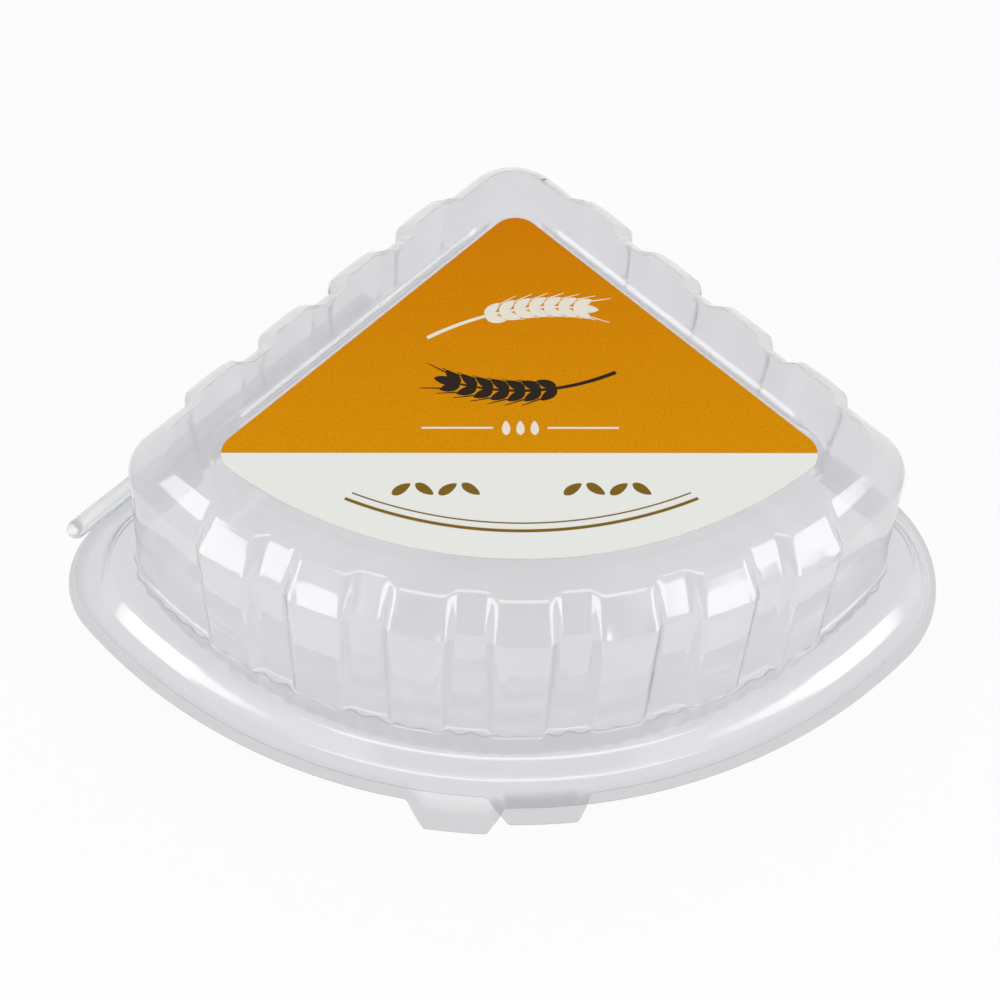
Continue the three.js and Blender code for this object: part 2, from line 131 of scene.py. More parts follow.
def lay_out(rows):
    """Points of many outlines as one array, rows by stations by three. Along a side a point is the meeting
    point plus u along the side plus h outwards. Along a corner or the arc it is a centre plus a radius."""
    g = {key: np.asarray(value, float)[:, None] for key, value in rows.items()}
    meet = np.array([0, CENTRE_Y])
    reach_u = lambda h, c: np.sqrt((g["r"] - c) ** 2 - (h - c) ** 2)
    reach_a = lambda h, c: np.pi / 4 + np.arcsin((h - c) / (g["r"] - c))
    hl, hr, cl, cr = g["h_left"], g["h"], g["corner_left"], g["corner"]
    ul, ur, al, ar = reach_u(hl, cl), reach_u(hr, cr), reach_a(hl, cl), reach_a(hr, cr)
    parts = []

    def round_part(centre_x, centre_y, radius, start, stop, n):
        """A rounding: centre plus radius times cosine and sine, from the start angle to the stop angle."""
        a = 0 * radius + start + (stop - start) * steps(n)
        parts.append((centre_x + radius * np.cos(a), centre_y + radius * np.sin(a), 0 * a, 0 * a))

    def side_places(start, end, n_start, n_end):
        """Places along a side: few before the first pillar and after the last, many in between."""
        zone_a = np.maximum(FIRST_SIDE - 0.5 * PITCH_SIDE, start + SMALL)
        zone_b = np.minimum(FIRST_SIDE + (SIDE_COUNT - 0.58) * PITCH_SIDE, end - SMALL)
        zone = zone_a + (zone_b - zone_a) * steps(SIDE_COUNT * PER_PITCH)
        return np.hstack([start + (zone_a - start) * steps(n_start), zone,
                          zone_b + (end - zone_b) * steps(n_end)])

    def side_part(u, h, n, t):
        """A side: the meeting point plus u along t and h plus the pillars along n."""
        high, edge = pillar_height(u, FIRST_SIDE, PITCH_SIDE, SIDE_COUNT, g["top"], g["flank"], g["arch"])
        out = h + g["out"] * high
        from_start, to_end = u - u.min(1, keepdims=True), u.max(1, keepdims=True) - u
        straight = np.clip(from_start / FADE, 0, 1) * np.clip(to_end / FADE, 0, 1)
        parts.append((meet[0] + u * t[0] + out * n[0], meet[1] + u * t[1] + out * n[1], edge, straight))

    ax = (hl - g["apex"]) * LEFT_N[0] + (hr - g["apex"]) * RIGHT_N[0]
    ay = CENTRE_Y + (hl - g["apex"]) * LEFT_N[1] + (hr - g["apex"]) * RIGHT_N[1]
    round_part(ax, ay, g["apex"], np.pi / 4, 3 * np.pi / 4, 40)
    side_part(side_places(g["apex"] - hr, ul, 12, 8), hl, LEFT_N, LEFT_T)
    corner = lambda u, h, c, n, t: [meet[i] + u * t[i] + (h - c) * n[i] for i in (0, 1)]
    round_part(*corner(ul, hl, cl, LEFT_N, LEFT_T), cl, 0.75 * np.pi, 1.5 * np.pi - al, PER_ROUNDING)
    edge_l, edge_r = (np.minimum((ARC_COUNT / 2 - 0.08) * PITCH_ARC, a - 0.004) for a in (al, ar))
    zone = -edge_l + (edge_l + edge_r) * steps(ARC_COUNT * PER_PITCH)
    angle = np.hstack([-al + (al - edge_l) * steps(12), zone, edge_r + (ar - edge_r) * steps(12)])
    first = -(ARC_COUNT - 1) / 2 * PITCH_ARC
    high, edge = pillar_height(angle, first, PITCH_ARC, ARC_COUNT, g["top"], g["flank"], 0)
    radius = g["r"] + ARC_FLATTER * g["out"] * high + g["tab"] * tab_shape(angle, g)
    parts.append((radius * np.sin(angle), CENTRE_Y - radius * np.cos(angle), edge, 0 * angle))
    round_part(*corner(ur, hr, cr, RIGHT_N, RIGHT_T), cr, ar - np.pi / 2, np.pi / 4, PER_ROUNDING)
    side_part(side_places(g["apex"] - hl, ur, 12, 8)[:, ::-1], hr, RIGHT_N, RIGHT_T)
    x, y, edge, straight = (np.hstack([p[i] for p in parts]) for i in range(4))
    z = g["z"] + g["lift"] * edge + g["side_lift"] * straight
    return np.stack([x, y, z + 0 * x], axis=2)


def tab_shape(angle, g):
    """A tab's reach beyond the arc: a trapezoid over the angle, whose corners are eased by a square root
    mean, from the two root angles to the two tip angles."""
    a = np.degrees(angle)
    rise = np.clip((a - g["tab_root_a"]) / (g["tab_tip_a"] - g["tab_root_a"]), 0, 1)
    fall = np.clip((g["tab_root_b"] - a) / (g["tab_root_b"] - g["tab_tip_b"]), 0, 1)
    both = np.minimum(rise, fall)
    return both ** 0.8 * (1 - 0.12 * (1 - both))


# %% [markdown]
# ## From a few creases to a smooth sheet
# The solids have a crease where two faces meet. Drawn film can't fold sharply, so each crease becomes a
# short curve. The rows are treated as points of a path, and every corner of that path is replaced by a
# curve with two tangents. A second skin lies one sheet thickness under the first.

# %% Rounding and closing a sheet
KEYS = ("h", "h_left", "r", "apex", "corner", "corner_left", "out", "top", "flank", "arch", "lift",
        "side_lift", "z", "tab", "tab_root_a", "tab_root_b", "tab_tip_a", "tab_tip_b")
PLAIN = dict(out=0, top=0.5, flank=0.12, arch=0, lift=0, side_lift=0, tab=0,
             tab_root_a=-3, tab_root_b=7, tab_tip_a=-1, tab_tip_b=5)


def row(h, r, apex, corner, z, **more):
    """One outline as a list of its values, with plain values where none are given."""
    full = dict(PLAIN, h=h, h_left=h, r=r, apex=apex, corner=corner, corner_left=corner, z=z)
    full.update(more)
    return [full[key] for key in KEYS]


def with_tab(rows, reach, root, tip):
    """The same tab angles on every row, and the tab's reach on the last one."""
    for values in rows:
        for key, value in zip(KEYS[-4:], (*root, *tip)):
            values[KEYS.index(key)] = value
    rows[-1][KEYS.index("tab")] = reach
    return rows


def soften(rows, radii, across=6, along=3):
    """Replaces each inner row by a quadratic curve that starts and ends a radius before and after it,
    and fills the straight stretches evenly."""
    p = np.array(rows, float)
    place = np.stack([(p[:, 0] + p[:, 2]) / 2, p[:, KEYS.index("z")]], axis=1)
    gap = np.linalg.norm(np.diff(place, axis=0), axis=1)
    path = [p[0]]
    for i in range(1, len(p) - 1):
        before = p[i] + (p[i - 1] - p[i]) * min(radii[i] / gap[i - 1], 0.48)
        after = p[i] + (p[i + 1] - p[i]) * min(radii[i] / gap[i], 0.48)
        start = path[-1]
        path += [start + (before - start) * f for f in np.linspace(0, 1, along + 1)[1:]]
        t = np.linspace(0, 1, across)[1:, None]
        path += list((1 - t) ** 2 * before + 2 * t * (1 - t) * p[i] + t ** 2 * after)
    path += [path[-1] + (p[-1] - path[-1]) * f for f in np.linspace(0, 1, along + 1)[1:]]
    return {key: np.array(path)[:, k] for k, key in enumerate(KEYS)}


def sheet_arrays(points, thickness, middle):
    """A closed sheet from a grid of points on its upper face. The normal is the cross product of the two
    grid directions, and the lower face lies a thickness below along it. Rings shrink to a middle point."""
    ring = points[:1]
    inner = [middle + (ring - middle) * f for f in (0.05, 0.35, 0.7)]
    grid = np.concatenate(inner + [points])
    along = np.roll(grid, -1, 1) - np.roll(grid, 1, 1)
    out = np.gradient(grid, axis=0)
    normal = np.cross(out, along)
    normal /= np.linalg.norm(normal, axis=2, keepdims=True) + 1e-12
    under = grid - thickness * normal
    m, n = grid.shape[:2]
    layers = np.concatenate([grid, under[::-1]])
    verts = np.concatenate([layers.reshape(-1, 3), [middle, middle - [0, 0, thickness]]])
    i, j = np.meshgrid(np.arange(2 * m - 1), np.arange(n), indexing="ij")
    k = (j + 1) % n
    quads = np.stack([i * n + j, (i + 1) * n + j, (i + 1) * n + k, i * n + k], axis=2).reshape(-1, 4)
    a = np.arange(n)
    last = (2 * m - 1) * n
    top = np.stack([0 * a + 2 * m * n, a, (a + 1) % n], axis=1)
    low = np.stack([0 * a + 2 * m * n + 1, last + (a + 1) % n, last + a], axis=1)
    return verts * MM, quads, np.concatenate([top, low])


SHARP_ANGLE = np.radians(50)


def make_piece(name, verts, quads, triangles, material, body, thick=None):
    """A smooth mesh object at the origin that rides on a body. thick says for each point how far the film
    has kept its first thickness: 1 on a flat flange, 0 where it was drawn out."""
    mesh = bpy.data.meshes.new(name)
    mesh.from_pydata(verts.tolist(), [], quads.tolist() + triangles.tolist())
    if thick is not None:
        kept = mesh.attributes.new("thick", "FLOAT", "POINT")
        kept.data.foreach_set("value", thick.astype(np.float32))
    mesh.polygons.foreach_set("use_smooth", np.ones(len(mesh.polygons), bool))
    mesh.set_sharp_from_angle(angle=SHARP_ANGLE)
    mesh.update()
    mesh.materials.append(material)
    piece = bpy.data.objects.new(name, mesh)
    scene.collection.objects.link(piece)
    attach(piece, body)
    size = (verts.max(0) - verts.min(0)) * 1000
    print(name, "faces", len(mesh.polygons), "size mm", np.round(size, 1))
    return piece


# %% [markdown]
# ## Clear film
# The pack is clear plastic film under half a millimetre thick. It is glossy, barely tinted, and its
# surface is never quite even, because it was stretched hot over a mould. The shader is glass with a light
# grey tint and a little haze. The film is thicker where it wasn't drawn, on the rim and the tabs, and
# darker there. Lamps shine straight through it, so that the inside is lit.

# %% Clear film
WAVES_PER_METRE = 45
FILM_WAVE = 0.3
RIM_TINT = (0.66, 0.66, 0.675)
BEAD_TINT = (0.90, 0.90, 0.91)
LAMP_TINT = (0.93, 0.94, 0.94, 1)


def clear_film(name, drawn, full, clearness, rough):
    """Glass with a little haze: two tints mixed by how thick the film is, a faint large wave in the
    surface, and a roughness that wanders a little."""
    material = bpy.data.materials.new(name)
    material.use_nodes = True
    nodes, links = material.node_tree.nodes, material.node_tree.links
    nodes.clear()
    output = nodes.new("ShaderNodeOutputMaterial")
    film = nodes.new("ShaderNodeBsdfPrincipled")
    film.inputs["Transmission Weight"].default_value = clearness
    film.inputs["IOR"].default_value = 1.5
    kept = nodes.new("ShaderNodeAttribute")
    kept.attribute_name = "thick"
    tint = nodes.new("ShaderNodeMix")
    tint.data_type = "RGBA"
    tint.inputs["A"].default_value = (*drawn, 1)
    tint.inputs["B"].default_value = (*full, 1)
    links.new(kept.outputs["Fac"], tint.inputs["Factor"])
    links.new(tint.outputs["Result"], film.inputs["Base Color"])
    place = nodes.new("ShaderNodeTexCoord")
    wander = nodes.new("ShaderNodeTexNoise")
    wander.inputs["Scale"].default_value = WAVES_PER_METRE
    wander.inputs["Detail"].default_value = 1
    links.new(place.outputs["Object"], wander.inputs["Vector"])
    gloss = nodes.new("ShaderNodeMapRange")
    gloss.inputs["To Min"].default_value = rough[0]
    gloss.inputs["To Max"].default_value = rough[1]
    links.new(wander.outputs["Fac"], gloss.inputs["Value"])
    links.new(gloss.outputs["Result"], film.inputs["Roughness"])
    bump = nodes.new("ShaderNodeBump")
    bump.inputs["Strength"].default_value = FILM_WAVE
    bump.inputs["Distance"].default_value = 0.4 * MM
    links.new(wander.outputs["Fac"], bump.inputs["Height"])
    links.new(bump.outputs["Normal"], film.inputs["Normal"])
    lamp_way = nodes.new("ShaderNodeBsdfTransparent")
    lamp_way.inputs["Color"].default_value = LAMP_TINT
    ray = nodes.new("ShaderNodeLightPath")
    mix = nodes.new("ShaderNodeMixShader")
    links.new(ray.outputs["Is Shadow Ray"], mix.inputs["Fac"])
    links.new(film.outputs["BSDF"], mix.inputs[1])
    links.new(lamp_way.outputs["BSDF"], mix.inputs[2])
    links.new(mix.outputs["Shader"], output.inputs["Surface"])
    return material


lid_film = clear_film("lid_film", (0.83, 0.828, 0.842), RIM_TINT, clearness=0.87, rough=(0.03, 0.09))
tray_film = clear_film("tray_film", (0.80, 0.798, 0.812), RIM_TINT, clearness=0.87, rough=(0.03, 0.09))
bead_film = clear_film("bead_film", BEAD_TINT, BEAD_TINT, clearness=0.55, rough=(0.12, 0.25))
print("films:", [film.name for film in (lid_film, tray_film, bead_film)])

# %% [markdown]
# ## The lid
# The lid has a flat top with a shallow pocket for the label, a sloping shoulder that breaks into pads, a
# nearly upright wall of pillars, then a ledge, a step that closes over the tray's rim, and a flat flange
# with its opening tab. The rows below are the creases in that order, in millimetres: side, arc, the
# rounding at the point, the rounding at both ends of the arc, and height.

# %% Lid
SHEET = 0.4
FILM = 0.3
FLANGE = 18.0
LID_TOP = 67.0
POCKET_DEPTH = 0.6
MIDDLE_Y = 4.0
lid_rows = [
    row(-4.60, 94.65, 6.55, 6.6, LID_TOP - 0.62),
    row(-3.90, 95.35, 7.25, 7.3, LID_TOP - POCKET_DEPTH, side_lift=-0.85),
    row(-2.75, 96.5, 8.4, 8.6, LID_TOP - 0.02),
    row(4.45, 101.3, 8.6, 9.0, LID_TOP - 0.25, out=2.1, top=0.42, flank=0.17),
    row(7.75, 104.4, 10.1, 9.5, LID_TOP - 4.0, out=2.35, top=0.45, flank=0.15, arch=0.5, lift=0.3),
    row(11.2, 107.6, 11.6, 10.0, LID_TOP - 8.45, out=2.6, top=0.48, flank=0.13, arch=0.9, lift=1.8),
    row(14.0, 111.6, 14.1, 11.5, FLANGE + 4.15, out=2.1, top=0.47, flank=0.09, arch=0.4),
    row(18.6, 118.3, 18.1, 15.5, FLANGE + 4.05),
    row(20.6, 121.8, 20.1, 18.0, FLANGE + 0.4),
    row(22.3, 125.4, 22.1, 25.0, FLANGE + 0.4, h_left=24.2, corner_left=18.0),
]
with_tab(lid_rows, 5.9, (-2.95, 7.1), (-0.9, 5.5))
lid_path = soften(lid_rows, [0, 0.3, 0.3, 0.9, 1.0, 1.0, 0.9, 0.7, 0.6, 0])


THICK_FADE = 0.8
NOWHERE = 99.0


def thick_of(grid, edge_radius, rim_h, path):
    """For every point of a sheet: 1 on the tab, which lies past the arc's edge, and past h = rim_h. Each
    rises from 0 in a straight line. The three inner rings and the middle points get 0."""
    radius = np.hypot(grid[:, :, 0], CENTRE_Y - grid[:, :, 1])
    tab = np.clip((radius - edge_radius) / THICK_FADE, 0, 1)
    rim = np.clip((path["h"] - rim_h) / THICK_FADE, 0, 1)[:, None]
    share = np.maximum(tab, rim)
    share = np.concatenate([0 * share[:3], share])
    return np.concatenate([share.ravel(), share[::-1].ravel(), [0, 0]])


middle = np.array([0, MIDDLE_Y, LID_TOP - POCKET_DEPTH])
lid_grid = lay_out(lid_path)
lid = make_piece("lid_sheet", *sheet_arrays(lid_grid, FILM, middle), lid_film, "lid",
                 thick_of(lid_grid, 125.6, NOWHERE, lid_path))
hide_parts("lid")

# %% [markdown]
# ## The tray
# The tray is the same outline, lower and plainer. Its wall carries fine flutes that stiffen it. They are a
# cosine wave along the outline. The rim stands up into the lid's step.

# %% Tray
FLUTES = 86
FLUTE_DEPTH = 0.8
RIM_TOP = 21.1
TRAY_FLANGE = FLANGE - 0.06
tray_rows = [
    row(8.8, 106.1, 10.8, 10.2, SHEET),
    row(12.0, 109.3, 12.7, 12.1, SHEET),
    row(15.2, 112.5, 14.6, 14.0, RIM_TOP),
    row(18.1, 117.9, 17.4, 15.1, RIM_TOP),
    row(19.9, 121.1, 19.2, 17.3, TRAY_FLANGE),
    row(24.5, 127.6, 25.1, 28.0, TRAY_FLANGE, corner_left=19.0),
]
with_tab(tray_rows, 5.65, (-10.55, -1.25), (-8.6, -2.9))


def fluted(grid, rows, count, depth):
    """Waves the wall in and out: the offset is half the depth times the cosine of the way along the wall's
    own outline, and it fades out at the floor and above the wall."""
    wall = grid[len(grid) // 2]
    run = np.linalg.norm(np.roll(wall, -1, 0) - wall, axis=1)
    way = np.concatenate([[0], np.cumsum(run)[:-1]]) / run.sum()
    along = np.roll(wall, -1, 0) - np.roll(wall, 1, 0)
    outward = np.stack([along[:, 1], -along[:, 0], 0 * way], axis=1)
    outward /= np.linalg.norm(outward, axis=1, keepdims=True)
    rise = np.clip((rows["z"] - 1.0) / 2.5, 0, 1)
    fade = np.clip(1 - (rows["h"] - 15.4) / 1.6, 0, 1)
    share = (rise * fade)[:, None]
    offset = depth / 2 * share * np.cos(2 * np.pi * count * way)
    return grid + offset[:, :, None] * outward


tray_path = soften(tray_rows, [0, 3.0, 0.8, 1.0, 0.7, 0])
tray_grid = fluted(lay_out(tray_path), tray_path, FLUTES, FLUTE_DEPTH)
tray = make_piece("tray_sheet", *sheet_arrays(tray_grid, FILM, np.array([0, 0, SHEET])), tray_film, "base",
                  thick_of(tray_grid, 127.7, 22.2, tray_path))
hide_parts("base_tray")

# %% [markdown]
# ## The hinge bead
# Tray and lid are joined along the left side by a rolled bead of the same film: a tube with rounded ends,
# open where the lid's flange comes in. It is a surface of two parameters, the way along the axis and the
# angle round it, with its radius drawn in at both ends like the end of a capsule.

# %% Hinge bead
def bead_arrays(radius, start, stop, height, axis_h):
    """Radius times cosine and sine of the angle about an axis along the left side. Over the last stretch
    at each end the radius follows a quarter circle down to nothing."""
    a = np.linspace(0, np.pi / 2, 9)
    draw_in = radius * (1 - np.cos(a))
    straight = np.linspace(start + radius, stop - radius, 40)
    u = np.sort(np.concatenate([start + draw_in, straight, stop - draw_in]))
    end = np.minimum(u - start, stop - u)
    r = radius * np.sqrt(np.clip(1 - (1 - np.clip(end / radius, 0, 1)) ** 2, 1e-4, 1))
    angle = np.radians(np.linspace(-185, 142, 40))
    out = axis_h + r[:, None] * np.cos(angle)
    z = height + r[:, None] * np.sin(angle)
    x = u[:, None] * LEFT_T[0] + out * LEFT_N[0]
    y = CENTRE_Y + u[:, None] * LEFT_T[1] + out * LEFT_N[1]
    points = np.stack([x, y, z], axis=2)
    m, n = points.shape[:2]
    i, j = np.meshgrid(np.arange(m - 1), np.arange(n - 1), indexing="ij")
    quads = np.stack([i * n + j, (i + 1) * n + j, (i + 1) * n + j + 1, i * n + j + 1], axis=2)
    return points.reshape(-1, 3) * MM, quads.reshape(-1, 4), np.zeros((0, 3), int)


bead = make_piece("hinge_bead", *bead_arrays(2.2, 22.0, 115.75, FLANGE, 26.8), bead_film, "base")
wall = bead.modifiers.new("film", "SOLIDIFY")
wall.thickness = SHEET * MM
wall.offset = -1

# %% [markdown]
# ## The label
# The label is paper with a matt print: an orange field that turns from red-orange at the point to yellow-
# orange towards the front, and a white band along the arc. It is a sheet like the others, from one row.

# %% Label
LABEL_Z = LID_TOP - POCKET_DEPTH + 0.12
PAPER = 0.1
YELLOW_ORANGE = (0.66, 0.265, 0.0015, 1)
RED_ORANGE = (0.61, 0.195, 0.0008, 1)
BAND_WHITE = (0.80, 0.81, 0.77, 1)
BAND_FROM_Y = -15.9 * MM


def label_paper():
    """Orange above a straight line, white below it, with a paper grain in the bump."""
    material = bpy.data.materials.new("label_paper")
    material.use_nodes = True
    nodes, links = material.node_tree.nodes, material.node_tree.links
    paper = nodes["Principled BSDF"]
    paper.inputs["Roughness"].default_value = 0.6
    paper.inputs["Specular IOR Level"].default_value = 0.03
    place = nodes.new("ShaderNodeTexCoord")
    split = nodes.new("ShaderNodeSeparateXYZ")
    links.new(place.outputs["Object"], split.inputs["Vector"])
    to_point = nodes.new("ShaderNodeMapRange")
    to_point.inputs["From Min"].default_value = -0.013
    to_point.inputs["From Max"].default_value = 0.045
    links.new(split.outputs["Y"], to_point.inputs["Value"])
    ramp = nodes.new("ShaderNodeValToRGB")
    ramp.color_ramp.elements[0].color = YELLOW_ORANGE
    ramp.color_ramp.elements[1].color = RED_ORANGE
    links.new(to_point.outputs["Result"], ramp.inputs["Fac"])
    band = nodes.new("ShaderNodeMath")
    band.operation = "LESS_THAN"
    band.inputs[1].default_value = BAND_FROM_Y
    links.new(split.outputs["Y"], band.inputs[0])
    speck = nodes.new("ShaderNodeTexNoise")
    speck.inputs["Scale"].default_value = 1700
    links.new(place.outputs["Object"], speck.inputs["Vector"])
    speck_level = nodes.new("ShaderNodeMapRange")
    speck_level.inputs["From Min"].default_value = 0.3
    speck_level.inputs["From Max"].default_value = 0.7
    speck_level.inputs["To Min"].default_value = 0.93
    speck_level.inputs["To Max"].default_value = 1.07
    links.new(speck.outputs["Fac"], speck_level.inputs["Value"])
    printed = nodes.new("ShaderNodeVectorMath")
    printed.operation = "SCALE"
    links.new(ramp.outputs["Color"], printed.inputs[0])
    links.new(speck_level.outputs["Result"], printed.inputs["Scale"])
    colour = nodes.new("ShaderNodeMix")
    colour.data_type = "RGBA"
    links.new(band.outputs["Value"], colour.inputs["Factor"])
    links.new(printed.outputs["Vector"], colour.inputs["A"])
    colour.inputs["B"].default_value = BAND_WHITE
    links.new(colour.outputs["Result"], paper.inputs["Base Color"])
    grain = nodes.new("ShaderNodeTexNoise")
    grain.inputs["Scale"].default_value = 2500
    links.new(place.outputs["Object"], grain.inputs["Vector"])
    bump = nodes.new("ShaderNodeBump")
    bump.inputs["Strength"].default_value = 0.08
    bump.inputs["Distance"].default_value = 0.00005
    links.new(grain.outputs["Fac"], bump.inputs["Height"])
    links.new(bump.outputs["Normal"], paper.inputs["Normal"])
    return material


label_path = {key: np.array([value]) for key, value in zip(KEYS, row(-5.55, 93.7, 5.6, 4.8, LABEL_Z))}
label_rim = lay_out(label_path)
label_middle = np.array([0, MIDDLE_Y, LABEL_Z])
label_grid = np.concatenate([label_middle + (label_rim - label_middle) * f for f in (0.9, 1.0)])
label = make_piece("label_sheet", *sheet_arrays(label_grid, PAPER, label_middle), label_paper(), "lid")
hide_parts("label")

# %% [markdown]
# ## Shapes printed on the label
# The print is plain: two ears of grain, a few loose grains and thin curved rules. Ink is a raised layer a
# few hundredths of a millimetre thick, so each grain is a low dome over a leaf outline, and each stem or
# rule is a flat ribbon along a path. All grains of one ink are worked out together.

# %% Printed shapes
INK_LOW, INK_HIGH = LABEL_Z - 0.02, LABEL_Z + 0.05


def grains(places, turns, length, width):
    """Closed leaf shapes: along the length the half width is the sine of the way to the power 0.8."""
    places, turns = np.atleast_2d(places).astype(float), np.atleast_1d(turns).astype(float)
    f = steps(14)
    a = 2 * np.pi * f
    along = length / 2 * np.cos(a)
    across = width / 2 * np.sign(np.sin(a)) * np.abs(np.sin(a)) ** 1.3 * (1 - 0.25 * np.cos(a))
    x = places[:, :1] + np.cos(turns)[:, None] * along - np.sin(turns)[:, None] * across
    y = places[:, 1:] + np.sin(turns)[:, None] * along + np.cos(turns)[:, None] * across
    rim = np.stack([x, y, 0 * x + INK_LOW + 0.02], axis=2)
    centre = np.concatenate([places, np.full((len(places), 1), INK_HIGH)], axis=1)[:, None]
    below = centre - [0, 0, INK_HIGH - INK_LOW]
    verts = np.concatenate([rim, centre, below], axis=1)
    n = len(f)
    i = np.arange(n)
    k = (i + 1) % n
    fan = np.concatenate([np.stack([0 * i + n, i, k], axis=1), np.stack([0 * i + n + 1, k, i], axis=1)])
    triangles = fan[None] + (n + 2) * np.arange(len(places))[:, None, None]
    return verts.reshape(-1, 3), np.zeros((0, 4), int), triangles.reshape(-1, 3)


def ribbon(path, half):
    """A flat closed bar along a path: half to the left and right of it, from the low to the high of ink."""
    way = np.gradient(path, axis=0)
    way /= np.linalg.norm(way, axis=1, keepdims=True)
    side = np.stack([-way[:, 1], way[:, 0]], axis=1) * np.broadcast_to(half, len(path))[:, None]
    flat = [path - side, path - side, path + side, path + side]
    level = [INK_LOW, INK_HIGH, INK_HIGH, INK_LOW]
    verts = np.stack([np.column_stack([p, np.full(len(p), z)]) for p, z in zip(flat, level)], axis=1)
    i, j = np.meshgrid(np.arange(len(path) - 1), np.arange(4), indexing="ij")
    k = (j + 1) % 4
    quads = np.stack([i * 4 + j, (i + 1) * 4 + j, (i + 1) * 4 + k, i * 4 + k], axis=2).reshape(-1, 4)
    last = 4 * len(path) - 4
    caps = np.array([[0, 1, 2, 3], [last + 3, last + 2, last + 1, last]])
    return verts.reshape(-1, 3), np.concatenate([quads, caps]), np.zeros((0, 3), int)


def ear(start, bend, stop, pairs):
    """An ear of grain on a quadratic curve: a stem, pairs of grains that lean outwards, and their awns."""
    start, bend, stop = (np.array(p, float) for p in (start, bend, stop))
    curve = lambda t: (1 - t) ** 2 * start + 2 * t * (1 - t) * bend + t ** 2 * stop
    slope = lambda t: 2 * (1 - t) * (bend - start) + 2 * t * (stop - bend)
    t = np.linspace(0.38, 0.93, pairs)[:, None]
    place, way = curve(t), slope(t)
    turn = np.arctan2(way[:, 1], way[:, 0])
    shapes = [ribbon(curve(np.linspace(0, 0.97, 40)[:, None]), np.linspace(0.42, 0.2, 40))]
    for hand in (-1, 1):
        lean = turn + hand * 0.5
        out = np.stack([np.cos(turn + hand * np.pi / 2), np.sin(turn + hand * np.pi / 2)], axis=1)
        middle_of = place + 1.35 * out + 1.1 * np.stack([np.cos(turn), np.sin(turn)], axis=1)
        shapes.append(grains(middle_of, lean, 4.3, 2.1))
        for centre, a in zip(middle_of, turn + hand * 0.36):
            tip = centre + 2.0 * np.array([np.cos(a), np.sin(a)])
            end = tip + 4.2 * np.array([np.cos(a - hand * 0.1), np.sin(a - hand * 0.1)])
            shapes.append(ribbon(np.linspace(tip, end, 5), np.linspace(0.14, 0.06, 5)))
    shapes.append(grains(stop, turn[-1], 4.3, 2.1))
    return shapes


def on_arc(radius, reach_degrees, count=80):
    """Points of an arc about the meeting point, as far to the left as to the right."""
    a = np.radians(np.linspace(-reach_degrees, reach_degrees, count))
    return np.stack([radius * np.sin(a), CENTRE_Y - radius * np.cos(a)], axis=1)


def joined(shapes):
    """One mesh of many closed shapes: points end to end, and each face's numbers moved on by the points
    before it."""
    starts = np.cumsum([0] + [len(v) for v, _, _ in shapes[:-1]])
    verts = np.concatenate([v for v, _, _ in shapes]) * MM
    quads = np.concatenate([q + s for (_, q, _), s in zip(shapes, starts)])
    triangles = np.concatenate([t + s for (_, _, t), s in zip(shapes, starts)])
    return verts, quads, triangles


def ink(name, colour):
    """Matt printing ink whose cover is a little uneven."""
    material = bpy.data.materials.new(name)
    material.use_nodes = True
    nodes, links = material.node_tree.nodes, material.node_tree.links
    paint = nodes["Principled BSDF"]
    paint.inputs["Roughness"].default_value = 0.6
    paint.inputs["Specular IOR Level"].default_value = 0.1
    place = nodes.new("ShaderNodeTexCoord")
    cover = nodes.new("ShaderNodeTexNoise")
    cover.inputs["Scale"].default_value = 900
    links.new(place.outputs["Object"], cover.inputs["Vector"])
    ramp = nodes.new("ShaderNodeValToRGB")
    ramp.color_ramp.elements[0].color = (*[c * 0.92 for c in colour], 1)
    ramp.color_ramp.elements[1].color = (*colour, 1)
    links.new(cover.outputs["Fac"], ramp.inputs["Fac"])
    links.new(ramp.outputs["Color"], paint.inputs["Base Color"])
    return material


CREAM, DARK, GOLD_BROWN = (0.82, 0.78, 0.66), (0.022, 0.014, 0.008), (0.21, 0.12, 0.012)
loose_x = 4.6 * np.linspace(-1.5, 1.5, 4)
cream_shapes = ear((-19, 12), (-2, 22), (15, 19.5), 7)
cream_shapes += [ribbon(np.stack([np.linspace(a, b, 12), np.full(12, -10.0)], axis=1), 0.22)
                 for a, b in ((-20, -5.5), (5.5, 20))]
cream_shapes.append(grains([[-2.9, -10], [0, -10], [2.9, -10]], [np.pi / 2] * 3, 3.4, 1.7))
dark_shapes = ear((20, 3.5), (3, -4.5), (-15.5, 1.5), 7)
gold_shapes = [ribbon(on_arc(87.6, 23.5), 0.32), ribbon(on_arc(85.9, 23.0), 0.14)]
for middle_x in (-17, 17):
    places = np.stack([middle_x + loose_x, 0 * loose_x - 24.2], axis=1)
    gold_shapes.append(grains(places, [0.6, -0.6, 0.6, -0.6], 4.4, 2.0))
prints = [("print_cream", cream_shapes, CREAM), ("print_dark", dark_shapes, DARK),
          ("print_gold", gold_shapes, GOLD_BROWN)]
for name, shapes, colour in prints:
    printed = make_piece(name, *joined(shapes), ink(name + "_ink", colour), "lid")

# %% [markdown]
# ## The stage
# A plain white floor, a soft light from above, and a white room. The room has two bright soft windows, one
# to the left and one to the right of the arc, which show as white patches on the shoulder pads, and a
# darker wall in front, which gives the film its grey.

# %% Floor, lamp and world
FLOOR_GLOW = 0.8
FLOOR_SIDES = 96


def seen_share(nodes, links):
    """1 for a ray from the eye, straight, by a mirror or through clear film, and 0 for others."""
    ray = nodes.new("ShaderNodeLightPath")
    total = ray.outputs["Is Camera Ray"]
    for kind in ("Is Glossy Ray", "Is Transmission Ray"):
        either = nodes.new("ShaderNodeMath")
        either.operation = "MAXIMUM"
        links.new(total, either.inputs[0])
        links.new(ray.outputs[kind], either.inputs[1])
        total = either.outputs["Value"]
    return total


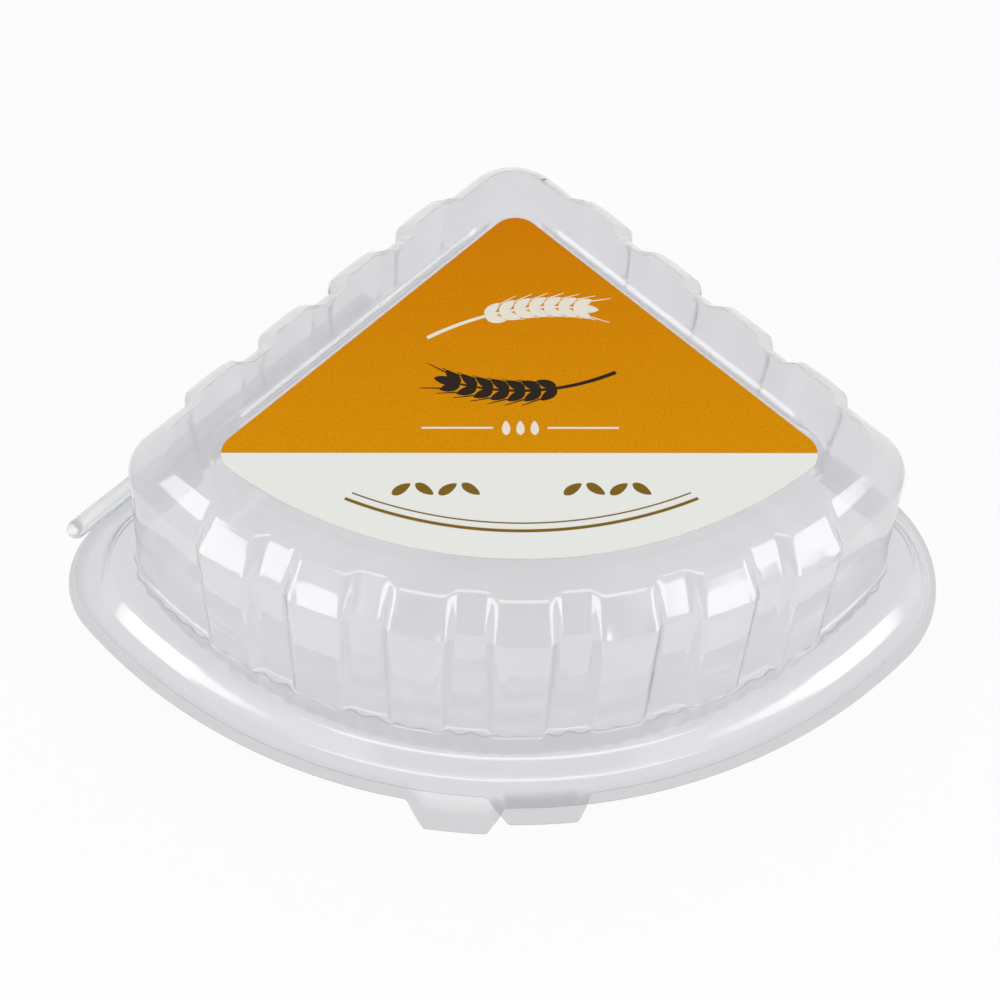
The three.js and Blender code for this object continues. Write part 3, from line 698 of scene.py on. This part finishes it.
def soft_floor():
    """White to the eye, and it still takes the pack's shadow."""
    material = bpy.data.materials.new("floor_paint")
    material.use_nodes = True
    nodes, links = material.node_tree.nodes, material.node_tree.links
    paint = nodes["Principled BSDF"]
    paint.inputs["Base Color"].default_value = (0.95, 0.95, 0.95, 1)
    paint.inputs["Roughness"].default_value = 0.9
    output = nodes["Material Output"]
    glow = nodes.new("ShaderNodeEmission")
    share = nodes.new("ShaderNodeMath")
    share.operation = "MULTIPLY"
    share.inputs[1].default_value = FLOOR_GLOW
    links.new(seen_share(nodes, links), share.inputs[0])
    mix = nodes.new("ShaderNodeMixShader")
    links.new(share.outputs["Value"], mix.inputs["Fac"])
    links.new(paint.outputs["BSDF"], mix.inputs[1])
    links.new(glow.outputs["Emission"], mix.inputs[2])
    links.new(mix.outputs["Shader"], output.inputs["Surface"])
    return material


def floor_disc(radius):
    """A flat disc: radius times cosine and sine of the angle, just under the table height."""
    a = 2 * np.pi * steps(FLOOR_SIDES)
    verts = np.stack([radius * np.cos(a), radius * np.sin(a), 0 * a - 0.1 * MM], axis=1)
    mesh = bpy.data.meshes.new("floor")
    mesh.from_pydata(verts.tolist(), [], [list(range(FLOOR_SIDES))])
    mesh.materials.append(soft_floor())
    floor = bpy.data.objects.new("floor", mesh)
    scene.collection.objects.link(floor)


def soft_box(name, place, target, size, power):
    """A rectangle of light at a place, facing a target."""
    data = bpy.data.lights.new(name, "AREA")
    data.shape = "RECTANGLE"
    data.size, data.size_y = size
    data.energy = power
    lamp = bpy.data.objects.new(name, data)
    lamp.location = place
    way = mathutils.Vector(target) - mathutils.Vector(place)
    lamp.rotation_euler = way.to_track_quat("-Z", "Y").to_euler()
    scene.collection.objects.link(lamp)


floor_disc(6.0)
soft_box("top_box", (0.0, -0.5, 1.0), (0, 0, 0), (0.9, 0.6), 3.6)
world = bpy.data.worlds.new("studio")
scene.world = world
world.use_nodes = True
w_nodes, w_links = world.node_tree.nodes, world.node_tree.links
sky = w_nodes["Background"]
sky.inputs["Color"].default_value = (1, 1, 1, 1)


def math_node(kind, *values):
    """A Math node of the world, whose inputs are numbers or the outputs of other nodes."""
    node = w_nodes.new("ShaderNodeMath")
    node.operation = kind
    for socket, value in zip(node.inputs, values):
        if hasattr(value, "is_linked"):
            w_links.new(value, socket)
        else:
            socket.default_value = value
    return node.outputs["Value"]


def ease(value, start, stop):
    """An S-curve from 0 at start to 1 at stop."""
    node = w_nodes.new("ShaderNodeMapRange")
    node.interpolation_type = "SMOOTHSTEP"
    node.inputs["From Min"].default_value = start
    node.inputs["From Max"].default_value = stop
    w_links.new(value, node.inputs["Value"])
    return node.outputs["Result"]


# %% The room: two windows, a darker front and plain white elsewhere
ROOM_LEVEL = 0.64
WINDOW_GLOW = 3.3
FRONT_SHADE = -0.65
way = w_nodes.new("ShaderNodeTexCoord")
parts = w_nodes.new("ShaderNodeSeparateXYZ")
w_links.new(way.outputs["Generated"], parts.inputs["Vector"])
height = parts.outputs["Z"]
to_side = math_node("ABSOLUTE", parts.outputs["X"])
to_front = math_node("MULTIPLY", parts.outputs["Y"], -1.0)
bearing = math_node("ARCTAN2", to_front, to_side)
inside = math_node("MULTIPLY", ease(bearing, 0.24, 0.36), ease(bearing, 1.10, 1.02))
low_part = ease(height, 0.25, 0.20)
high_part = math_node("MULTIPLY", ease(height, 0.50, 0.40), ease(bearing, 0.62, 0.54))
level = math_node("MULTIPLY", ease(height, 0.0, 0.03), math_node("MAXIMUM", low_part, high_part))
window = math_node("MULTIPLY", inside, level)
light_path = w_nodes.new("ShaderNodeLightPath")
not_eye = math_node("SUBTRACT", 1.0, light_path.outputs["Is Camera Ray"])
glow = math_node("MULTIPLY", math_node("MULTIPLY", window, not_eye), WINDOW_GLOW)
seen = seen_share(w_nodes, w_links)
base_level = math_node("ADD", math_node("MULTIPLY", seen, 1 - ROOM_LEVEL), ROOM_LEVEL)
shade = math_node("MULTIPLY", ease(bearing, 1.12, 1.22), ease(height, 0.60, 0.45))
shade = math_node("MULTIPLY", math_node("MULTIPLY", shade, light_path.outputs["Is Glossy Ray"]), FRONT_SHADE)
w_links.new(math_node("ADD", math_node("ADD", base_level, shade), glow), sky.inputs["Strength"])
scene.view_settings.view_transform = "Standard"
print("room: level", ROOM_LEVEL, "windows", WINDOW_GLOW, "front", FRONT_SHADE)
